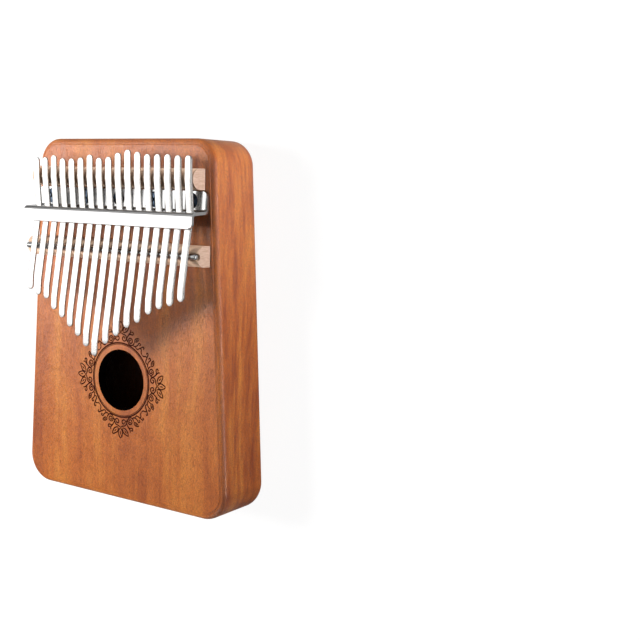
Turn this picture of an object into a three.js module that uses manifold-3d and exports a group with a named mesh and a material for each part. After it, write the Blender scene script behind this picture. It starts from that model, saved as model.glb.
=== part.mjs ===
// A seventeen-key thumb piano: a hollow wooden body, two small bridges, one bent steel bracket, and
// seventeen spring-steel tines. Millimetres. The body lies on its back: +X right, +Y towards the bridge
// end, +Z out of the sounding face, and the origin is the middle of the back.
import * as THREE from "three";
import { mergeVertices } from "three/addons/utils/BufferGeometryUtils.js";
import Module from "manifold-3d";

const wasm = await Module();
wasm.setup();

// Room left between two pieces that touch on the real instrument.
const GAP = 0.3;

// Body: a tapered block, milled hollow from the back.
const LENGTH = 185;
const TOP_WIDTH = 116.8;
const BOTTOM_WIDTH = 138.4;
const DEPTH = 33;
const TOP_CORNER = 13;
const BOTTOM_CORNER = 14.4;
const FACE_ROUND = 2.75;
const BACK_ROUND = 4.4;
const EDGE_STEP = 0.35;
const WALL = 8;
const SOUNDBOARD = 5;
const CORNER_STEPS = 6;
const ROUND_STEPS = 4;
const HOLE_RADIUS = 15.5;
const HOLE_Y = -29.5;
const HOLE_SIDES = 36;

// Pad left under the soundboard, where the bracket's screws bite.
const PAD_Y = [54, 82];
const PAD_DEPTH = 10;

// Back plate, let into a rebate.
const REBATE_INSET = 5;
const PLATE_THICKNESS = 3.7;

// Tines, numbered from left to right. Each is one strip, clamped at the bracket and held down over the
// two bridges. Heights above the face are of the strip's middle plane.
const TINE_PITCH = 6.37;
const TINE_ROW_X = 1;
const TINE_WIDTH = 4;
const TINE_THICKNESS = 0.9;
const TINE_BACK_Y = [
  82.5, 82.5, 83.5, 82, 82, 82.5, 84, 82.5, 83, 85, 86.5, 85.5, 84.5, 84.5, 84.5, 84, 84,
];
const TINE_TIP_Y = [
  14.5, 12, 10.5, 5.5, 2, -2, -6, -10.5, -14.5, -8, -3.5, 1, 4, 8.5, 11.5, 13.5, 16,
];
const CREST_Y = 73.2;
const CREST_HEIGHT = 9.95;
const CLAMP_Y = 57.2;
const CLAMP_HEIGHT = 8.45;
const ROD_Y = 37;
const TINE_RISE = 0.166;
const TIP_LENGTH = 7;
const TIP_LIFT = 0.3;
const TINE_BEND_RADIUS = 9;
const TINE_END_STEPS = 6;

// Bridges and the rod that lies in the front one.
const BACK_BRIDGE_WIDTH = 10;
const BACK_BRIDGE_LENGTH = 108;
const FRONT_BRIDGE_WIDTH = 10;
const FRONT_BRIDGE_LENGTH = 115.2;
const FRONT_BRIDGE_HEIGHT = 9.7;
const BRIDGE_SIDE = 0.45;
const ROD_RADIUS = 1.5;
const ROD_LENGTH = 115;
const ROD_DOME = 0.5;

// Bracket: one strip of sheet, bent twice. The base is screwed down, the wall stands on its front edge,
// and the lip folds forward over the tines.
const SHEET = 1.5;
const SHEET_BEND = 1.6;
const BRACKET_LENGTH = 113.2;
const BASE_BACK_Y = 67.7;
const WALL_FOOT_Y = 57.6;
const WALL_TOP_Y = 56.8;
const LIP_HEIGHT = 12.8;
const LIP_FRONT_Y = 50.1;
const BRACKET_CORNER = 2.6;
const SLOT_WIDTH = TINE_WIDTH + 2 * GAP;
const SLOT_HEADROOM = 0.55;
const SLOT_FOOTROOM = 2.5;

// Screws: countersunk, with a cross recess.
const SCREW_X = [-47.2, -23.6, 0, 23.6, 47.2];
const SCREW_Y = 63;
const SCREW_HEAD_RADIUS = 3.7;
const SCREW_HEAD_DEPTH = 2.2;
const SCREW_HEAD_CROWN = 0.5;
const SCREW_SHANK_RADIUS = 1.7;
const SCREW_LENGTH = 12;
const SCREW_SIDES = 20;
const CROSS_LENGTH = 4.4;
const CROSS_WIDTH = 1;
const CROSS_DEPTH = 1.7;

const steel = new THREE.MeshStandardMaterial({ color: 0xe6e4e0, roughness: 0.22, metalness: 1 });
const chrome = new THREE.MeshStandardMaterial({ color: 0xd6d6d6, roughness: 0.12, metalness: 1 });
const darkZinc = new THREE.MeshStandardMaterial({ color: 0x39424f, roughness: 0.35, metalness: 1 });
const bodyWood = new THREE.MeshStandardMaterial({ color: 0xb0683c, roughness: 0.5, metalness: 0 });
const plateWood = new THREE.MeshStandardMaterial({ color: 0xa9623a, roughness: 0.5, metalness: 0 });
const paleWood = new THREE.MeshStandardMaterial({ color: 0xe3bf9c, roughness: 0.6, metalness: 0 });

// ---------------------------------------------------------------- shapes

const point = (x, y) => new THREE.Vector2(x, y);

function arc(x, y, radius, from, to, steps) {
  const points = [];
  for (let i = 0; i <= steps; i += 1) {
    const angle = from + ((to - from) * i) / steps;
    points.push(point(x + radius * Math.cos(angle), y + radius * Math.sin(angle)));
  }
  return points;
}

// A prism that stands on z = bottom.
function prism(outline, bottom, top) {
  const shape = new THREE.Shape(outline);
  return new THREE.ExtrudeGeometry(shape, { depth: top - bottom, bevelEnabled: false }).translate(0, 0, bottom);
}

// A bar centred on x = 0 with the section (y, z).
function barAlongX(section, length) {
  const yToX = new THREE.Matrix4().makeBasis(
    new THREE.Vector3(0, 1, 0),
    new THREE.Vector3(0, 0, 1),
    new THREE.Vector3(1, 0, 0),
  );
  return prism(section, -length / 2, length / 2).applyMatrix4(yToX);
}

// A round piece about the vertical axis, from its profile of (radius, z), lowest point first.
function turned(profile, sides) {
  return new THREE.LatheGeometry(profile, sides).rotateX(Math.PI / 2);
}

function box(x, y, z, width, length, height) {
  return new THREE.BoxGeometry(width, length, height).translate(x, y, z);
}

// The edge line of a strip of even thickness that follows a path, with its bends rounded.
function stripSection(path, bendRadius, thickness) {
  const left = [];
  const right = [];
  const addPair = (at, normal) => {
    left.push(at.clone().addScaledVector(normal, thickness / 2));
    right.push(at.clone().addScaledVector(normal, -thickness / 2));
  };
  const directions = path.slice(1).map((end, i) => end.clone().sub(path[i]).normalize());
  const normals = directions.map((d) => point(-d.y, d.x));
  addPair(path[0], normals[0]);
  for (let i = 1; i < path.length - 1; i += 1) {
    const before = directions[i - 1];
    const turn = before.angleTo(directions[i]);
    const side = Math.sign(before.cross(directions[i]));
    const start = path[i].clone().addScaledVector(before, -bendRadius * Math.tan(turn / 2));
    const centre = start.clone().addScaledVector(normals[i - 1], side * bendRadius);
    const steps = Math.max(2, Math.ceil(turn / 0.35));
    for (let k = 0; k <= steps; k += 1) {
      const normal = normals[i - 1].clone().rotateAround(point(0, 0), (side * turn * k) / steps);
      addPair(centre.clone().addScaledVector(normal, -side * bendRadius), normal);
    }
  }
  addPair(path[path.length - 1], normals[normals.length - 1]);
  return [...left, ...right.reverse()];
}

// ---------------------------------------------------------------- joins and cuts

function solid(geometry) {
  const bare = new THREE.BufferGeometry();
  bare.setAttribute("position", geometry.getAttribute("position"));
  if (geometry.index) bare.setIndex(geometry.index);
  const merged = mergeVertices(bare, 1e-4);
  return new wasm.Manifold(
    new wasm.Mesh({
      numProp: 3,
      vertProperties: new Float32Array(merged.getAttribute("position").array),
      triVerts: new Uint32Array(merged.index.array),
    }),
  );
}

function surface(body) {
  const mesh = body.getMesh();
  const geometry = new THREE.BufferGeometry();
  geometry.setAttribute("position", new THREE.BufferAttribute(mesh.vertProperties, 3));
  geometry.setIndex(new THREE.BufferAttribute(mesh.triVerts, 1));
  const flat = geometry.toNonIndexed();
  flat.computeVertexNormals();
  return flat;
}

function cut(geometry, cutters) {
  let body = solid(geometry);
  for (const cutter of cutters) body = body.subtract(solid(cutter));
  return surface(body);
}

function common(geometry, other) {
  return surface(solid(geometry).intersect(solid(other)));
}

// ---------------------------------------------------------------- body and back plate

// The body's plan, moved inwards by inset.
function bodyOutline(inset) {
  const slant = Math.atan((BOTTOM_WIDTH - TOP_WIDTH) / 2 / LENGTH);
  const sideDistance = (TOP_WIDTH / 2) * Math.cos(slant) + (LENGTH / 2) * Math.sin(slant);
  const quarter = Math.PI / 2;
  const corner = (end, side, radius, from, to) => {
    const y = end * (LENGTH / 2 - radius);
    const x = (sideDistance - radius - y * Math.sin(slant)) / Math.cos(slant);
    return arc(side * x, y, radius - inset, from, to, CORNER_STEPS);
  };
  return [
    ...corner(-1, 1, BOTTOM_CORNER, -quarter, slant),
    ...corner(1, 1, TOP_CORNER, slant, quarter),
    ...corner(1, -1, TOP_CORNER, quarter, Math.PI - slant),
    ...corner(-1, -1, BOTTOM_CORNER, Math.PI - slant, 3 * quarter),
  ];
}

// A closed body through rings of (inset, z), lowest ring first.
function loft(rings) {
  const count = bodyOutline(0).length;
  const positions = [];
  for (const [inset, z] of rings) {
    for (const p of bodyOutline(inset)) positions.push(p.x, p.y, z);
  }
  const index = [];
  for (let ring = 0; ring < rings.length - 1; ring += 1) {
    for (let i = 0; i < count; i += 1) {
      const a = ring * count + i;
      const b = ring * count + ((i + 1) % count);
      index.push(a, b, b + count, a, b + count, a + count);
    }
  }
  const last = (rings.length - 1) * count;
  for (const [a, b, c] of THREE.ShapeUtils.triangulateShape(bodyOutline(rings[0][0]), [])) {
    index.push(a, c, b);
    index.push(last + a, last + b, last + c);
  }
  const geometry = new THREE.BufferGeometry();
  geometry.setAttribute("position", new THREE.Float32BufferAttribute(positions, 3));
  geometry.setIndex(index);
  return geometry;
}

function bodyShell() {
  const rings = [];
  for (let i = 0; i <= ROUND_STEPS; i += 1) {
    const angle = (i / ROUND_STEPS) * (Math.PI / 2);
    rings.push([BACK_ROUND * (1 - Math.sin(angle)), BACK_ROUND * (1 - Math.cos(angle))]);
  }
  const shoulder = DEPTH - EDGE_STEP;
  for (let i = 0; i <= ROUND_STEPS; i += 1) {
    const angle = (i / ROUND_STEPS) * (Math.PI / 2);
    rings.push([FACE_ROUND * (1 - Math.cos(angle)), shoulder - FACE_ROUND * (1 - Math.sin(angle))]);
  }
  rings.push([FACE_ROUND + EDGE_STEP, DEPTH]);

  const rebateDepth = PLATE_THICKNESS + GAP;
  const ceiling = DEPTH - SOUNDBOARD;
  const rebate = prism(bodyOutline(REBATE_INSET), -1, rebateDepth);
  const chamber = prism(bodyOutline(WALL), rebateDepth - 1, ceiling);
  const pad = box(0, (PAD_Y[0] + PAD_Y[1]) / 2, ceiling, TOP_WIDTH, PAD_Y[1] - PAD_Y[0], 2 * PAD_DEPTH);
  const hole = new THREE.CylinderGeometry(HOLE_RADIUS, HOLE_RADIUS, DEPTH, HOLE_SIDES)
    .rotateX(Math.PI / 2)
    .translate(0, HOLE_Y, DEPTH);
  const cutters = [rebate, cut(chamber, [pad]), hole];
  for (const x of SCREW_X) cutters.push(screwShape(GAP).translate(x, SCREW_Y, DEPTH + GAP + SHEET));
  return cut(loft(rings), cutters);
}

function backPlate() {
  return prism(bodyOutline(REBATE_INSET + GAP), 0, PLATE_THICKNESS);
}

// ---------------------------------------------------------------- screws

// One screw with the rim of its head at the origin, grown by room on every side.
function screwShape(room) {
  const head = SCREW_HEAD_RADIUS + room;
  const shank = SCREW_SHANK_RADIUS + room;
  return turned(
    [
      point(0, -SCREW_LENGTH - room),
      point(shank * 0.35, -SCREW_LENGTH - room),
      point(shank, -SCREW_LENGTH + 3),
      point(shank, -SCREW_HEAD_DEPTH - room),
      point(head, 0),
      point(head * 0.6, SCREW_HEAD_CROWN * 0.7),
      point(0, SCREW_HEAD_CROWN),
    ],
    SCREW_SIDES,
  );
}

function bracketScrew() {
  const middle = SCREW_HEAD_CROWN;
  const crosswise = box(0, 0, middle, CROSS_LENGTH, CROSS_WIDTH, 2 * CROSS_DEPTH);
  const lengthwise = box(0, 0, middle, CROSS_WIDTH, CROSS_LENGTH, 2 * CROSS_DEPTH);
  return cut(screwShape(0), [crosswise, lengthwise]);
}

// ---------------------------------------------------------------- bridges and rod

// A bar with upright sides and a rounded top, standing GAP above the face.
function bridgeSection(centreY, width, height) {
  const side = height * BRIDGE_SIDE;
  const crown = [];
  for (let i = 0; i <= 12; i += 1) {
    const angle = (i / 12) * Math.PI;
    crown.push(
      point(centreY + (width / 2) * Math.cos(angle), DEPTH + side + (height - side) * Math.sin(angle)),
    );
  }
  return [point(centreY - width / 2, DEPTH + GAP), point(centreY + width / 2, DEPTH + GAP), ...crown];
}

function backBridge() {
  const height = CREST_HEIGHT - TINE_THICKNESS / 2 - GAP;
  return barAlongX(bridgeSection(CREST_Y, BACK_BRIDGE_WIDTH, height), BACK_BRIDGE_LENGTH);
}

// The middle of the rod, which the tines' undersides clear by GAP.
const rodTineHeight = CLAMP_HEIGHT + TINE_RISE * (CLAMP_Y - ROD_Y);
const rodHeight = rodTineHeight - (TINE_THICKNESS / 2 + GAP + ROD_RADIUS) * Math.hypot(1, TINE_RISE);

function frontBridge() {
  const bar = barAlongX(bridgeSection(ROD_Y, FRONT_BRIDGE_WIDTH, FRONT_BRIDGE_HEIGHT), FRONT_BRIDGE_LENGTH);
  const groove = arc(ROD_Y, DEPTH + rodHeight, ROD_RADIUS + GAP, Math.PI, 2 * Math.PI, 10);
  const mouth = FRONT_BRIDGE_HEIGHT + 2;
  groove.push(point(ROD_Y + ROD_RADIUS + GAP, DEPTH + mouth));
  groove.push(point(ROD_Y - ROD_RADIUS - GAP, DEPTH + mouth));
  return cut(bar, [barAlongX(groove, FRONT_BRIDGE_LENGTH + 2)]);
}

function bridgeRod() {
  const half = ROD_LENGTH / 2;
  const profile = [
    point(0, -half),
    point(ROD_RADIUS - ROD_DOME, -half + 0.15),
    point(ROD_RADIUS, -half + ROD_DOME),
    point(ROD_RADIUS, half - ROD_DOME),
    point(ROD_RADIUS - ROD_DOME, half - 0.15),
    point(0, half),
  ];
  return turned(profile, 16)
    .rotateY(Math.PI / 2)
    .translate(0, ROD_Y, DEPTH + rodHeight);
}

// ---------------------------------------------------------------- tines

const tineX = (number) => TINE_ROW_X + (number - 9) * TINE_PITCH;
const tineHeight = (y) => DEPTH + CLAMP_HEIGHT + TINE_RISE * (CLAMP_Y - y);

// The plan of a strip with one round end, at y = end, and one square end, at y = square.
function tinePlan(end, square) {
  const towards = Math.sign(end - square);
  const radius = TINE_WIDTH / 2;
  const round = arc(0, 0, radius, 0, Math.PI, TINE_END_STEPS).map((p) =>
    point(p.x, end + towards * (p.y - radius)),
  );
  return [point(radius, square), ...round, point(-radius, square)];
}

function tinePiece(path, end, square) {
  const strip = barAlongX(stripSection(path, TINE_BEND_RADIUS, TINE_THICKNESS), TINE_WIDTH + 2);
  return common(strip, prism(tinePlan(end, square), DEPTH, DEPTH + 40));
}

// The part of a tine behind the rod, which slides through the bracket when the note is tuned.
function tineShank(backY) {
  const split = ROD_Y + GAP / 2;
  const path = [
    point(backY + 1, DEPTH + CREST_HEIGHT),
    point(CREST_Y, DEPTH + CREST_HEIGHT),
    point(CLAMP_Y, DEPTH + CLAMP_HEIGHT),
    point(split - 1, tineHeight(split - 1)),
  ];
  return tinePiece(path, backY, split);
}

// The part in front of the rod, which the thumb presses and lets go.
function tineTongue(tipY) {
  const split = ROD_Y - GAP / 2;
  const bendY = tipY + TIP_LENGTH;
  const path = [
    point(split + 1, tineHeight(split + 1)),
    point(bendY, tineHeight(bendY)),
    point(tipY - 1, tineHeight(bendY) + TIP_LIFT),
  ];
  return tinePiece(path, tipY, split);
}

// ---------------------------------------------------------------- bracket

// A cutter that rounds two corners of an edge of the sheet: the square corner less its quarter circle.
function cornerCutter(x, y, outX, outY, bottom, top) {
  const reach = BRACKET_CORNER + 1;
  const square = box(
    x + (outX * reach) / 2,
    y + (outY * reach) / 2,
    (bottom + top) / 2,
    reach,
    reach,
    top - bottom,
  );
  const round = new THREE.CylinderGeometry(BRACKET_CORNER, BRACKET_CORNER, top - bottom + 2, 24)
    .rotateX(Math.PI / 2)
    .translate(x, y, (bottom + top) / 2);
  return cut(square, [round]);
}

function tineBracket() {
  const path = [
    point(BASE_BACK_Y, DEPTH + GAP + SHEET / 2),
    point(WALL_FOOT_Y, DEPTH + GAP + SHEET / 2),
    point(WALL_TOP_Y, DEPTH + LIP_HEIGHT - SHEET / 2),
    point(LIP_FRONT_Y, DEPTH + LIP_HEIGHT - SHEET / 2),
  ];
  const sheet = barAlongX(stripSection(path, SHEET_BEND, SHEET), BRACKET_LENGTH);
  const cutters = [];
  const slotBottom = DEPTH + CLAMP_HEIGHT - TINE_THICKNESS / 2 - SLOT_FOOTROOM;
  const slotTop = DEPTH + CLAMP_HEIGHT + TINE_THICKNESS / 2 + SLOT_HEADROOM;
  for (let number = 1; number <= 17; number += 1) {
    cutters.push(
      box(tineX(number), CLAMP_Y, (slotBottom + slotTop) / 2, SLOT_WIDTH, 6, slotTop - slotBottom),
    );
  }
  for (const x of SCREW_X) cutters.push(screwShape(GAP).translate(x, SCREW_Y, DEPTH + GAP + SHEET));
  const cornerX = BRACKET_LENGTH / 2 - BRACKET_CORNER;
  for (const side of [-1, 1]) {
    const baseTop = DEPTH + GAP + SHEET + 1;
    const lipBottom = DEPTH + LIP_HEIGHT - SHEET - 1;
    cutters.push(
      cornerCutter(side * cornerX, BASE_BACK_Y - BRACKET_CORNER, side, 1, DEPTH, baseTop),
      cornerCutter(side * cornerX, LIP_FRONT_Y + BRACKET_CORNER, side, -1, lipBottom, lipBottom + 5),
    );
  }
  return cut(sheet, cutters);
}

// ---------------------------------------------------------------- assembly

const kalimba = new THREE.Group();

function add(name, geometry, material, x = 0, y = 0, z = 0) {
  const mesh = new THREE.Mesh(geometry, material);
  mesh.name = name;
  mesh.position.set(x, y, z);
  kalimba.add(mesh);
}

add("body_shell", bodyShell(), bodyWood);
add("back_plate", backPlate(), plateWood);
add("back_bridge", backBridge(), paleWood);
add("front_bridge", frontBridge(), paleWood);
add("bridge_rod", bridgeRod(), steel);
add("tine_bracket", tineBracket(), chrome);
SCREW_X.forEach((x, i) => {
  add(`bracket_screw_${i + 1}`, bracketScrew(), darkZinc, x, SCREW_Y, DEPTH + GAP + SHEET);
});
for (let number = 1; number <= 17; number += 1) {
  const label = `tine_${String(number).padStart(2, "0")}`;
  add(`${label}_shank`, tineShank(TINE_BACK_Y[number - 1]), steel, tineX(number));
  add(`${label}_tongue`, tineTongue(TINE_TIP_Y[number - 1]), steel, tineX(number));
}

export default kalimba;
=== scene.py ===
# A seventeen-key thumb piano, finished round its CAD frame. Lengths are in metres, with +X to the right,
# +Y towards the end with the bridges and +Z out of the sounding face.
import math

import bmesh
import bpy
from mathutils import Matrix, Vector
from mathutils.geometry import tessellate_polygon


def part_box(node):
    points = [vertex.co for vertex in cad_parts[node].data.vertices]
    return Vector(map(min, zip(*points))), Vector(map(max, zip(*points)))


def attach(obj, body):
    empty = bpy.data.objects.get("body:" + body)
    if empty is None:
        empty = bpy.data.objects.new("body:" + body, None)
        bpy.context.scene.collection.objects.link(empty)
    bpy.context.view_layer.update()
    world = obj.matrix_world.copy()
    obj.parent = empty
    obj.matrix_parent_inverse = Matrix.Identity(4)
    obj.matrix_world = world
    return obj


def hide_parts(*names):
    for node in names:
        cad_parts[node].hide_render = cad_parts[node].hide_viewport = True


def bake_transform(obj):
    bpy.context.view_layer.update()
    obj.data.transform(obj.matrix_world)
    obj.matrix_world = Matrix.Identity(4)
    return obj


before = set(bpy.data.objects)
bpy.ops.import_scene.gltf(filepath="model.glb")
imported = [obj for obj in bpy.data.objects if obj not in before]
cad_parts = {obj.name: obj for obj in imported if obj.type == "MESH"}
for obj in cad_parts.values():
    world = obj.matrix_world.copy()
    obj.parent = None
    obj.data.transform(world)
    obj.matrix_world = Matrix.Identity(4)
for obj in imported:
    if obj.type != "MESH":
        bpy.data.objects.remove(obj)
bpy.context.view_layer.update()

MM = 0.001
QUARTER = math.pi / 2

# ---------------------------------------------------------------- sizes that the frame gives

TINES = 17
SCREWS = 5
SHANKS = [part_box(f"tine_{number:02d}_shank") for number in range(1, TINES + 1)]
TONGUES = [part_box(f"tine_{number:02d}_tongue") for number in range(1, TINES + 1)]
BODY_LOW, BODY_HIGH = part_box("body_shell")
_, PLATE_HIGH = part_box("back_plate")
BRACKET_LOW, BRACKET_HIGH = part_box("tine_bracket")
ROD_LOW, ROD_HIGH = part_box("bridge_rod")

LENGTH = BODY_HIGH.y - BODY_LOW.y
FACE = BODY_HIGH.z
ROD_Y = (ROD_LOW.y + ROD_HIGH.y) / 2
ROD_Z = (ROD_LOW.z + ROD_HIGH.z) / 2
ROD_RADIUS = (ROD_HIGH.z - ROD_LOW.z) / 2

# ---------------------------------------------------------------- sizes of the finished surfaces

# Points closer than WELD become one, edges shorter than SLIVER go, and an edge that turns by more than SHARP
# degrees stays crisp.
WELD = 0.0005 * MM
SLIVER = 0.0001 * MM
SHARP = 35

# The body narrows from the bottom, below the tips of the tines, to the top, beyond the bridges.
TOP_WIDTH = 116.8 * MM
BOTTOM_WIDTH = 138.4 * MM
TOP_CORNER = 13 * MM
BOTTOM_CORNER = 14.4 * MM
CORNER_STEPS = 24
SMALL_STEPS = 3

# The face's roundover ends in a long shallow run, EDGE_RUN wide and EDGE_STEP high.
FACE_ROUND = 2.75 * MM
BACK_ROUND = 4.4 * MM
ROUND_STEPS = 8
EDGE_STEP = 0.35 * MM
EDGE_RUN = 0.9 * MM
EDGE_STEPS = 6

WALL = 8 * MM
SOUNDBOARD = 5 * MM
REBATE_INSET = 5 * MM
REBATE_DEPTH = 4 * MM
PLATE_EDGE = 0.5 * MM
PAD_Y = (54 * MM, 82 * MM)
PAD_DEPTH = 10 * MM
PAD_OVERLAP = 2 * MM

HOLE_Y = -29.5 * MM
HOLE_RADIUS = 15.5 * MM
HOLE_RIM = 0.25 * MM
HOLE_STEPS = 120

TINE_WIDTH = 4 * MM
TINE_THICKNESS = 0.9 * MM
TINE_EDGE = 0.22 * MM
TINE_EDGE_STEPS = 4
TINE_END_STEPS = 8
TINE_STATION = 3 * MM
TINE_SHARP = 60

# Straight stretches keep this many end radii away from a tine's ends.
TINE_END_CLEAR = 1.05

# Where a tine's middle crosses the back bridge and the bracket's wall, and how steeply it rises from there.
CREST_Y = 73.2 * MM
CREST_Z = FACE + 9.95 * MM
CLAMP_Y = 57.2 * MM
CLAMP_Z = FACE + 8.45 * MM
TINE_RISE = 0.166
TIP_LENGTH = 7 * MM
TIP_LIFT = 0.3 * MM
TINE_BEND = 9 * MM
BEND_STEP = 0.03

BRIDGE_SIDE = 0.45
BRIDGE_CROWN_STEPS = 24
BRIDGE_EDGE = 0.3 * MM
BRIDGE_SHARP = 40
GROOVE_ROOM = 0.3 * MM
GROOVE_STEPS = 20
GROOVE_EDGE = 0.21 * MM
GROOVE_OVER = 1 * MM
FRONT_BRIDGE_HEIGHT = 9.7 * MM
ROD_DOME = 0.9 * MM
ROD_DOME_STEPS = 10
ROD_STEPS = 40

SHEET = 1.5 * MM
SHEET_BEND = 1.6 * MM
SHEET_BEND_STEP = 0.2
SHEET_EDGE = 0.42 * MM
WALL_FOOT_Y = 57.6 * MM
WALL_TOP_Y = 56.8 * MM
BRACKET_CORNER = 2.6 * MM
BRACKET_CORNER_STEPS = 8
SHEET_SHARP = 50

# The sheet counts as upright where its direction has less than this along Y.
UPRIGHT = 0.3
SLOT_ROOM = 0.3 * MM
SLOT_LOW = FACE + 5.5 * MM
SLOT_HIGH = FACE + 9.45 * MM

SCREW_HEAD_DEPTH = 2.2 * MM
SCREW_RIM = 0.12 * MM
SCREW_CROWN_STEPS = 8
SCREW_CROWN_SPREAD = 1.4
SCREW_SHANK = 1.55 * MM
SCREW_TIP = 0.62 * MM
SCREW_TAPER = 1.5 * MM
SCREW_THREAD = 0.3 * MM
SCREW_PITCH = 0.9 * MM
SCREW_CREST = 0.4
SCREW_LENGTH = 12 * MM
SCREW_STEPS = 40
SCREW_SHARP = 30
SCREW_TURN = 0.6
SCREW_HOLE = 2 * MM
SCREW_HOLE_OVER = 1 * MM
COUNTERSINK_ROOM = 0.15 * MM
COUNTERSINK_DEPTH = 4 * MM
CROSS_LENGTH = 4.4 * MM
CROSS_WIDTH = 1 * MM
CROSS_DEPTH = 1.7 * MM

LINE_WIDTH = 0.68 * MM
LINE_END = 0.45
LINE_TAPER = 0.9 * MM
LINE_SUNK = 0.03 * MM
LINE_PROUD = 0.02 * MM
RING_RADII = ((18.45 * MM, 0.3 * MM), (19.2 * MM, 0.85 * MM))
SPRIGS = 4

# Sprigs are drawn straight and bent round a circle of this radius, in millimetres.
SPRIG_BEND = 22

# A leaf's edge and midrib as shares of its length, and the edge's half-width as a share of the widest.
LEAF_EDGE = ((0.14, 0.55), (0.42, 1), (0.78, 0.55))
LEAF_RIB = (0.3, 0.66)

# Steps in a full turn.
CURL_STEPS = 18


# ---------------------------------------------------------------- meshes

class Solid:
    """A closed mesh under construction: points, faces and each face's material number."""

    def __init__(self):
        self.points = []
        self.faces = []
        self.finishes = []

    def ring(self, points):
        start = len(self.points)
        self.points.extend(Vector(point) for point in points)
        return list(range(start, len(self.points)))

    def face(self, corners, finish=0):
        self.faces.append(corners)
        self.finishes.append(finish)

    def wall(self, low, high, finish=0):
        """Quads between two closed rings of the same number of points."""
        for i in range(len(low)):
            j = (i + 1) % len(low)
            self.face([low[i], low[j], high[j], high[i]], finish)

    def walls(self, rings, finish=0):
        for low, high in zip(rings, rings[1:]):
            self.wall(low, high, finish)

    def cap(self, loops, finish=0):
        """A flat face inside the first loop and outside the others."""
        corners = [i for loop in loops for i in loop]
        outlines = [[self.points[i] for i in loop] for loop in loops]
        for triangle in tessellate_polygon(outlines):
            self.face([corners[i] for i in triangle], finish)

    def stack(self, rings, finish=0):
        """The walls between closed rings, with a cap on the first and on the last."""
        self.walls(rings, finish)
        self.cap([rings[0]], finish)
        self.cap([rings[-1]], finish)

    def make(self, name, materials, sharp=SHARP):
        """The finished object. Edges that turn by more than sharp degrees stay crisp."""
        mesh = bpy.data.meshes.new(name)
        mesh.from_pydata(self.points, [], self.faces)
        mesh.polygons.foreach_set("material_index", self.finishes)
        for material in materials:
            mesh.materials.append(material)
        work = bmesh.new()
        work.from_mesh(mesh)
        bmesh.ops.remove_doubles(work, verts=work.verts, dist=WELD)
        bmesh.ops.dissolve_degenerate(work, edges=work.edges, dist=SLIVER)
        bmesh.ops.recalc_face_normals(work, faces=work.faces)
        work.to_mesh(mesh)
        work.free()
        obj = bpy.data.objects.new(name, mesh)
        bpy.context.scene.collection.objects.link(obj)
        shade(obj, sharp)
        return obj


def shade(obj, sharp):
    obj.data.shade_smooth()
    obj.data.set_sharp_from_angle(angle=math.radians(sharp))


def apply_modifiers(obj):
    depsgraph = bpy.context.evaluated_depsgraph_get()
    mesh = bpy.data.meshes.new_from_object(obj.evaluated_get(depsgraph))
    obj.modifiers.clear()
    obj.data = mesh


def combine(obj, cutter, operation):
    """Joins or cuts obj with cutter, which is used up."""
    modifier = obj.modifiers.new(operation, "BOOLEAN")
    modifier.operation = operation
    modifier.solver = "EXACT"
    modifier.object = cutter
    apply_modifiers(obj)
    bpy.data.objects.remove(cutter)


def bevel(obj, width, segments=3, angle=40):
    modifier = obj.modifiers.new("edges", "BEVEL")
    modifier.width = width
    modifier.segments = segments
    modifier.limit_method = "ANGLE"
    modifier.angle_limit = math.radians(angle)
    apply_modifiers(obj)


def even_normals(obj):
    """Lets the large faces set the shading, so that flat ones look flat."""
    modifier = obj.modifiers.new("normals", "WEIGHTED_NORMAL")
    modifier.keep_sharp = True


def circle(x, y, radius, z, steps):
    turns = [2 * math.pi * i / steps for i in range(steps)]
    return [(x + radius * math.cos(a), y + radius * math.sin(a), z) for a in turns]


def quarter_angles(steps):
    return [QUARTER * i / steps for i in range(steps + 1)]


def arc(x, y, radius, start, end, steps):
    turns = [start + (end - start) * i / steps for i in range(steps + 1)]
    return [(x + radius * math.cos(a), y + radius * math.sin(a)) for a in turns]


def drill(obj, place, levels, materials, finish=0):
    """Cuts a round hole by its (radius, z) levels from the lowest up, with z measured from place."""
    cutter = Solid()
    rings = [cutter.ring(circle(place.x, place.y, r, place.z + z, SCREW_STEPS)) for r, z in levels]
    cutter.stack(rings, finish)
    combine(obj, cutter.make("drill", materials), "DIFFERENCE")


def bent_path(points, radius, step):
    """A line through points with its corners rounded: (place, direction) pairs in two dimensions."""
    directions = [(b - a).normalized() for a, b in zip(points, points[1:])]
    path = [(points[0], directions[0])]
    for corner, before, after in zip(points[1:], directions, directions[1:]):
        turn = before.angle_signed(after)
        side = -1 if turn > 0 else 1
        start = corner - before * radius * math.tan(abs(turn) / 2)
        normal = Vector((-before.y, before.x)) * side
        centre = start + normal * radius
        steps = max(2, math.ceil(abs(turn) / step))
        for k in range(steps + 1):
            swing = Matrix.Rotation(side * abs(turn) * k / steps, 2)
            path.append((centre - swing @ normal * radius, swing @ before))
    path.append((points[-1], directions[-1]))
    return path


def filled_in(path, station):
    """The same path with its long straight stretches split into steps of about one station."""
    full = [path[0]]
    for place, direction in path[1:]:
        last = full[-1][0]
        pieces = max(1, math.ceil((place - last).length / station))
        for k in range(1, pieces):
            full.append((last.lerp(place, k / pieces), direction))
        full.append((place, direction))
    return full


class Route:
    """A path of (place, direction) pairs, measured along its length."""

    def __init__(self, path):
        self.path = path
        self.lengths = [0]
        for (a, _), (b, _) in zip(path, path[1:]):
            self.lengths.append(self.lengths[-1] + (b - a).length)
        self.total = self.lengths[-1]

    def at(self, distance):
        steps = zip(self.path, self.path[1:], self.lengths, self.lengths[1:])
        for (a, a_direction), (b, b_direction), start, end in steps:
            if distance <= end:
                share = (distance - start) / (end - start) if end > start else 0
                return a.lerp(b, share), a_direction.lerp(b_direction, share).normalized()
        return self.path[-1]


# ---------------------------------------------------------------- node materials

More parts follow.
